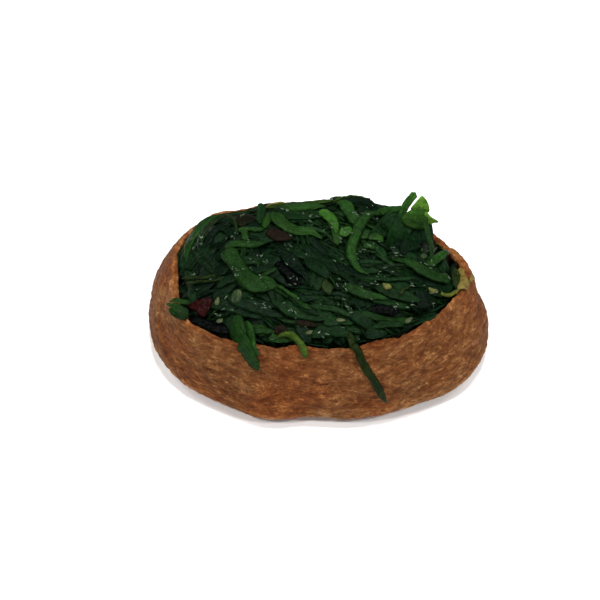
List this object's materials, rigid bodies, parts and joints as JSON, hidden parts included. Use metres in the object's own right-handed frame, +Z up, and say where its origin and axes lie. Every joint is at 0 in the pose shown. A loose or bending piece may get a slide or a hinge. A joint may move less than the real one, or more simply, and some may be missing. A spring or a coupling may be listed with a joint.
{
  "type": "inari sushi",
  "caption": "Oval fried tofu pouch, open at the top and heaped with glossy green seaweed salad whose strands hang over the rim; it stands on its flat base.",
  "frame": {"origin": "middle of the footprint, on the surface that the pouch stands on", "axes": "+X along the pouch's length, towards its pointed right end; +Y towards its rear; +Z up"},
  "size_m": [0.0802, 0.0574, 0.0327],
  "materials": {
    "tofu": "matte, mottled golden brown, finely wrinkled",
    "seaweed": "wet and glossy, dark bottle green to bright green"
  },
  "bodies": {
    "root": {"tofu_pouch": "tofu", "seaweed_salad": "seaweed"}
  },
  "joints": []
}
